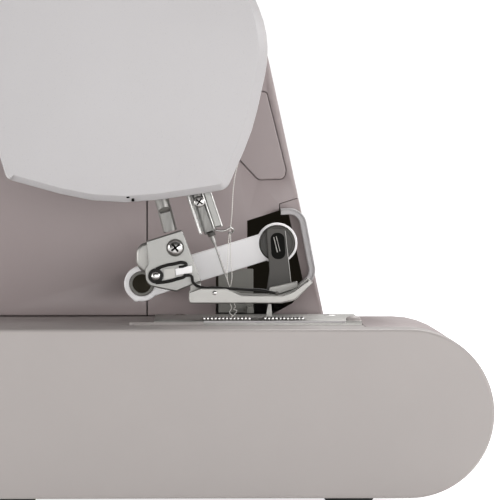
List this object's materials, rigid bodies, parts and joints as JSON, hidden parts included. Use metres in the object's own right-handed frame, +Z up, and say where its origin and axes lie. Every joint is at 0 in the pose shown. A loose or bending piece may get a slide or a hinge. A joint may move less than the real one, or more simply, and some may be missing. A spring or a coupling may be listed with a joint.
{
  "type": "serger overlock machine",
  "caption": "Household serger with a round-edged bed, light head cap, needle, presser foot, swinging upper knife, front looper door, tension dials, handwheel and thread stand.",
  "frame": {"origin": "under the middle of the whole machine, on the surface it stands on", "axes": "+X to the operator's right, along the bed; +Y to the back, towards the thread stand; +Z up"},
  "size_m": [0.34, 0.296, 0.292],
  "materials": {
    "taupe_plastic": "satin moulded plastic, warm taupe",
    "bed_plastic": "satin moulded plastic, light warm grey",
    "white_plastic": "smooth light grey-white plastic",
    "steel": "brushed nickel-plated steel",
    "chrome": "polished chrome",
    "cast_metal": "bead-blasted dark cast metal",
    "dark_metal": "dark oxide-coated steel",
    "black_wire": "black coated spring wire",
    "black_plastic": "black moulded plastic",
    "rubber": "black rubber",
    "thread": "off-white polyester sewing thread"
  },
  "bodies": {
    "machine": {"base_housing": "bed_plastic", "bed_end_cover": "bed_plastic", "bottom_plate": "dark_metal", "foot_1": "rubber", "foot_2": "rubber", "foot_3": "rubber", "foot_4": "rubber", "front_cover": "taupe_plastic", "rear_cover": "taupe_plastic", "side_panel": "taupe_plastic", "front_fascia": "white_plastic", "head_end_cap": "white_plastic", "head_shell": "white_plastic", "power_inlet": "black_plastic", "needle_plate": "steel", "lower_knife": "cast_metal", "cast_frame": "cast_metal", "motor": "cast_metal", "drive_belt": "rubber", "spool_tray": "taupe_plastic", "spool_pin_1": "white_plastic", "spool_pin_2": "white_plastic", "spool_pin_3": "white_plastic", "spool_pin_4": "white_plastic", "mast_outer_tube": "steel"},
    "door": {"looper_cover": "taupe_plastic", "knife_opening_rim": "white_plastic"},
    "needle_carrier": {"needle_bar": "chrome", "needle_clamp": "chrome", "needle_clamp_screw": "chrome", "needle_left": "chrome", "needle_right": "chrome", "needle_thread_left": "thread", "needle_thread_right": "thread"},
    "presser": {"presser_bar": "chrome", "presser_ankle": "steel", "ankle_screw": "chrome", "release_spring": "black_wire", "presser_foot": "steel"},
    "lifter": {"presser_lifter_lever": "white_plastic"},
    "knife": {"upper_knife_arm": "white_plastic", "knife_shaft": "cast_metal", "upper_knife": "dark_metal"},
    "knob": {"knife_knob": "dark_metal"},
    "lower_looper": {"lower_looper": "steel"},
    "upper_looper": {"upper_looper": "steel"},
    "main_feed": {"feed_dog_main": "steel"},
    "differential_feed": {"feed_dog_differential": "steel"},
    "drive": {"main_shaft": "steel", "handwheel": "taupe_plastic"},
    "motor_drive": {"motor_pulley": "steel"},
    "dial_1": {"tension_dial_1": "white_plastic"},
    "dial_2": {"tension_dial_2": "white_plastic"},
    "dial_3": {"tension_dial_3": "white_plastic"},
    "dial_4": {"tension_dial_4": "white_plastic"},
    "length_dial": {"stitch_length_dial": "white_plastic"},
    "feed_dial": {"differential_feed_dial": "white_plastic"},
    "handle": {"carry_handle": "taupe_plastic"},
    "mast": {"mast_inner_tube": "steel"},
    "rocker": {"power_switch": "black_plastic"}
  },
  "joints": [
    {"name": "looper_cover_hinge", "type": "hinge", "parent": "machine", "child": "door", "pos_m": [0, -0.1305, 0.01069], "axis": [1, 0, 0], "range_deg": [0, 70]},
    {"name": "needle_bar_slide", "type": "slide", "parent": "machine", "child": "needle_carrier", "axis": [0, -0.3173, -0.9483], "range_m": [0, 0.024]},
    {"name": "presser_bar_slide", "type": "slide", "parent": "machine", "child": "presser", "axis": [0, -0.2588, -0.9659], "range_m": [0, 0.0052]},
    {"name": "lifter_lever_hinge", "type": "hinge", "parent": "machine", "child": "lifter", "pos_m": [-0.0925, 0.04, 0.16], "axis": [-1, 0, 0], "range_deg": [0, 25]},
    {"name": "knife_arm_hinge", "type": "hinge", "parent": "machine", "child": "knife", "pos_m": [-0.1018, -0.0015, 0.0924], "axis": [-1, 0, 0], "range_deg": [0, 12]},
    {"name": "knife_knob_turn", "type": "hinge", "parent": "knife", "child": "knob", "pos_m": [-0.1012, -0.06, 0.1099], "axis": [1, 0, 0], "range_deg": [0, 90]},
    {"name": "lower_looper_swing", "type": "hinge", "parent": "machine", "child": "lower_looper", "pos_m": [-0.095, -0.0509, 0.042], "axis": [0, 1, 0], "range_deg": [-15, 5]},
    {"name": "upper_looper_swing", "type": "hinge", "parent": "machine", "child": "upper_looper", "pos_m": [-0.095, -0.063, 0.042], "axis": [0, 1, 0], "range_deg": [-6, 8]},
    {"name": "main_feed_drop", "type": "slide", "parent": "machine", "child": "main_feed", "axis": [0, 0, -1], "range_m": [0, 0.0018]},
    {"name": "differential_feed_drop", "type": "slide", "parent": "machine", "child": "differential_feed", "axis": [0, 0, -1], "range_m": [0, 0.0018]},
    {"name": "main_shaft_spin", "type": "hinge", "parent": "machine", "child": "drive", "pos_m": [0.0525, 0.002, 0.1], "axis": [1, 0, 0], "continuous": true},
    {"name": "motor_spin", "type": "hinge", "parent": "machine", "child": "motor_drive", "pos_m": [0.0375, 0.034, 0.185], "axis": [1, 0, 0], "continuous": true},
    {"name": "tension_dial_1_turn", "type": "hinge", "parent": "machine", "child": "dial_1", "pos_m": [-0.015, -0.03066, 0.23442], "axis": [1, 0, 0], "range_deg": [-150, 150]},
    {"name": "tension_dial_2_turn", "type": "hinge", "parent": "machine", "child": "dial_2", "pos_m": [0.025, -0.03066, 0.23442], "axis": [1, 0, 0], "range_deg": [-150, 150]},
    {"name": "tension_dial_3_turn", "type": "hinge", "parent": "machine", "child": "dial_3", "pos_m": [0.065, -0.03066, 0.23442], "axis": [1, 0, 0], "range_deg": [-150, 150]},
    {"name": "tension_dial_4_turn", "type": "hinge", "parent": "machine", "child": "dial_4", "pos_m": [0.105, -0.03066, 0.23442], "axis": [1, 0, 0], "range_deg": [-150, 150]},
    {"name": "stitch_length_turn", "type": "hinge", "parent": "machine", "child": "length_dial", "pos_m": [0.1543, -0.026, 0.214], "axis": [1, 0, 0], "range_deg": [0, 270]},
    {"name": "differential_feed_turn", "type": "hinge", "parent": "machine", "child": "feed_dial", "pos_m": [0.1543, 0.022, 0.214], "axis": [1, 0, 0], "range_deg": [0, 200]},
    {"name": "carry_handle_hinge", "type": "hinge", "parent": "machine", "child": "handle", "pos_m": [0.046, 0.016, 0.278], "axis": [1, 0, 0], "range_deg": [0, 90]},
    {"name": "mast_slide", "type": "slide", "parent": "machine", "child": "mast", "axis": [0, 0, 1], "range_m": [0, 0.07]},
    {"name": "power_switch_rock", "type": "hinge", "parent": "machine", "child": "rocker", "pos_m": [0.1494, 0.066, 0.041], "axis": [0, -1, 0], "range_deg": [0, 12]}
  ],
  "couplings": [
    {"joint": "lifter_lever_hinge", "follows": "presser_bar_slide", "rad_per_m": 83.333},
    {"joint": "motor_spin", "follows": "main_shaft_spin", "ratio": 3.1111}
  ]
}
